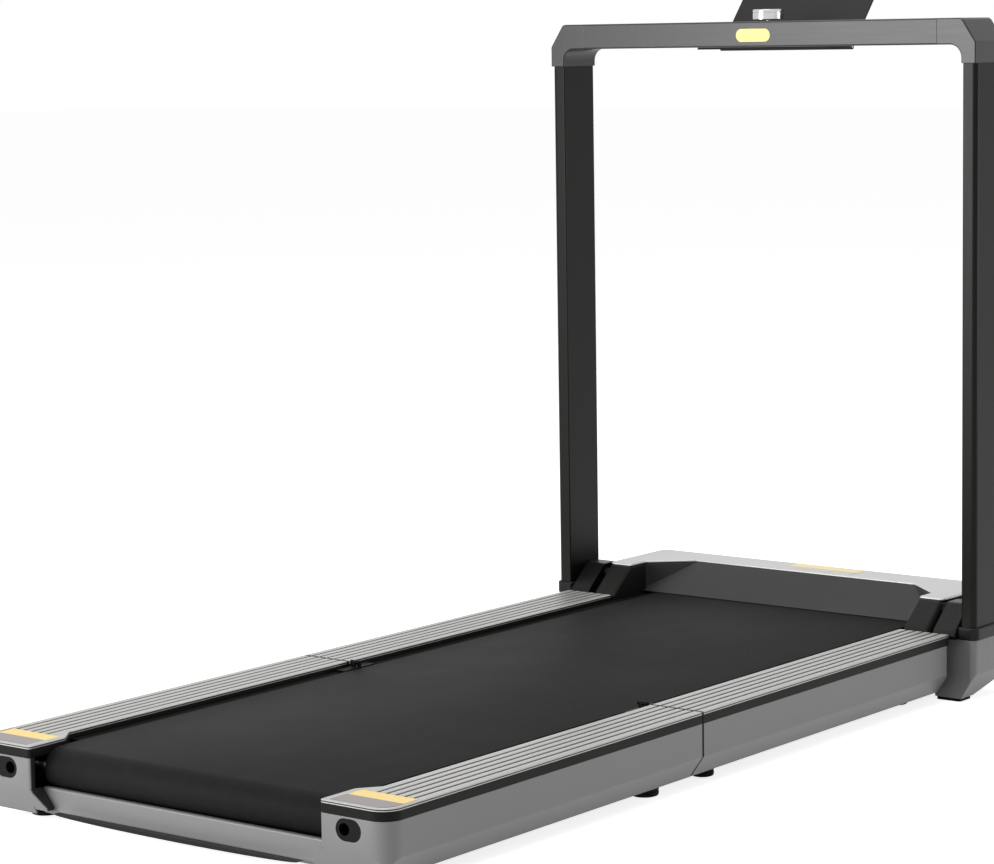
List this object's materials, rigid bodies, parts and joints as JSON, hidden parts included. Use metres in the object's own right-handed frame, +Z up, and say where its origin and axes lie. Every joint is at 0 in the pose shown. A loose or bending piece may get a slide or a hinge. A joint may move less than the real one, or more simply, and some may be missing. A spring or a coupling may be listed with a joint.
{
  "type": "walking pad",
  "caption": "Folding walking pad: belt deck hinged at mid-length, ribbed foot rails, motor hood and a fold-down handle frame with a speed knob and tilting tablet rest.",
  "frame": {"origin": "on the floor, under the middle of the unfolded pad", "axes": "+Z up, +Y towards the motor hood and handle frame, +X to the walker's right"},
  "size_m": [0.73, 1.428, 1.0319],
  "materials": {
    "rail_metal": "satin anodised",
    "trim_black": "fine matt",
    "panel_grey": "metallic grey paint",
    "frame_steel": "black powder coat",
    "board_black": "phenolic-faced board",
    "belt_rubber": "diamond embossed",
    "roller_steel": "turned",
    "pulley_metal": "machined",
    "motor_paint": "satin",
    "drive_rubber": "matt",
    "board_case": "extruded",
    "cover_black": "fine grain",
    "pad_rubber": "matt",
    "hood_black": "fine grain",
    "hood_silver": "silver metallic paint",
    "post_metal": "dark anodised",
    "joint_dark": "dark metallic paint",
    "crossbar_metal": "satin dark anodised",
    "knob_chrome": "polished",
    "console_black": "smooth matt",
    "wheel_rubber": "smooth",
    "switch_red": "gloss"
  },
  "bodies": {
    "base": {"front_frame": "frame_steel", "front_deck_board": "board_black", "front_belt_half": "belt_rubber", "front_roller_axle": "roller_steel", "motor": "motor_paint", "drive_belt": "drive_rubber", "motor_controller": "board_case", "front_belly_pan": "cover_black", "front_deck_feet": "pad_rubber", "fold_hinge_front_leaves": "frame_steel", "fold_hinge_pins": "roller_steel", "motor_hood": "hood_black", "hood_top_plate": "hood_silver", "power_inlet": "cover_black", "left_front_foot_rail": "rail_metal", "right_front_foot_rail": "rail_metal", "left_front_rail_trim": "trim_black", "right_front_rail_trim": "trim_black", "left_front_side_panel": "panel_grey", "right_front_side_panel": "panel_grey", "wheel_axles": "roller_steel"},
    "rear_deck": {"rear_frame": "frame_steel", "rear_deck_board": "board_black", "rear_belt_half": "belt_rubber", "rear_roller_axle": "roller_steel", "rear_cross_cover": "panel_grey", "rear_belly_pan": "cover_black", "rear_deck_feet": "pad_rubber", "belt_tension_bolts": "roller_steel", "bolt_bezels": "cover_black", "fold_hinge_rear_leaves": "frame_steel", "left_rear_foot_rail": "rail_metal", "right_rear_foot_rail": "rail_metal", "left_rear_rail_trim": "trim_black", "right_rear_rail_trim": "trim_black", "left_rear_side_panel": "panel_grey", "right_rear_side_panel": "panel_grey"},
    "handle_frame": {"left_handle_post": "post_metal", "right_handle_post": "post_metal", "left_foot_housing": "panel_grey", "right_foot_housing": "panel_grey", "post_collars": "joint_dark", "foot_soles": "pad_rubber", "pivot_covers": "joint_dark", "frame_pivot_pins": "roller_steel", "crossbar": "crossbar_metal", "corner_castings": "joint_dark", "knob_encoder": "console_black", "tablet_rest_tray": "console_black", "tilt_pin": "roller_steel"},
    "front_roller_unit": {"front_roller": "roller_steel", "roller_pulley": "pulley_metal"},
    "rear_roller_unit": {"rear_roller": "roller_steel"},
    "motor_shaft": {"motor_pulley": "pulley_metal"},
    "rocker": {"power_rocker": "switch_red"},
    "left_wheel": {"left_transport_wheel": "wheel_rubber"},
    "right_wheel": {"right_transport_wheel": "wheel_rubber"},
    "knob_plunger": {"knob_shaft": "roller_steel"},
    "knob": {"speed_knob": "knob_chrome"},
    "tablet_panel": {"tablet_rest_panel": "console_black"}
  },
  "joints": [
    {"name": "deck_fold", "type": "hinge", "parent": "base", "child": "rear_deck", "pos_m": [0, -0.103, 0.0984], "axis": [-1, 0, 0], "range_deg": [0, 180]},
    {"name": "frame_fold", "type": "hinge", "parent": "base", "child": "handle_frame", "pos_m": [0, 0.56, 0.12], "axis": [1, 0, 0], "range_deg": [0, 88]},
    {"name": "front_roller_spin", "type": "hinge", "parent": "base", "child": "front_roller_unit", "pos_m": [0, 0.6084, 0.0654], "axis": [1, 0, 0], "continuous": true},
    {"name": "rear_roller_spin", "type": "hinge", "parent": "rear_deck", "child": "rear_roller_unit", "pos_m": [0, -0.666, 0.0654], "axis": [1, 0, 0], "continuous": true},
    {"name": "motor_spin", "type": "hinge", "parent": "base", "child": "motor_shaft", "pos_m": [-0.234, 0.672, 0.072], "axis": [1, 0, 0], "continuous": true},
    {"name": "power_switch", "type": "hinge", "parent": "base", "child": "rocker", "pos_m": [0.172, 0.71, 0.054], "axis": [1, 0, 0], "range_deg": [-16, 0]},
    {"name": "left_wheel_spin", "type": "hinge", "parent": "base", "child": "left_wheel", "pos_m": [-0.27075, 0.688, 0.021], "axis": [1, 0, 0], "continuous": true},
    {"name": "right_wheel_spin", "type": "hinge", "parent": "base", "child": "right_wheel", "pos_m": [0.27075, 0.688, 0.021], "axis": [1, 0, 0], "continuous": true},
    {"name": "knob_press", "type": "slide", "parent": "handle_frame", "child": "knob_plunger", "axis": [0, 0, 1], "range_m": [-0.0015, 0], "stiffness_N_per_m": 1500, "springref_m": 0.004},
    {"name": "knob_turn", "type": "hinge", "parent": "knob_plunger", "child": "knob", "pos_m": [0, 0.56, 0.96], "axis": [0, 0, 1], "continuous": true},
    {"name": "tablet_tilt", "type": "hinge", "parent": "handle_frame", "child": "tablet_panel", "pos_m": [0, 0.6065, 0.9127], "axis": [1, 0, 0], "range_deg": [-49, 35]}
  ],
  "couplings": [
    {"joint": "rear_roller_spin", "follows": "front_roller_spin", "ratio": 1},
    {"joint": "motor_spin", "follows": "front_roller_spin", "ratio": 2}
  ]
}
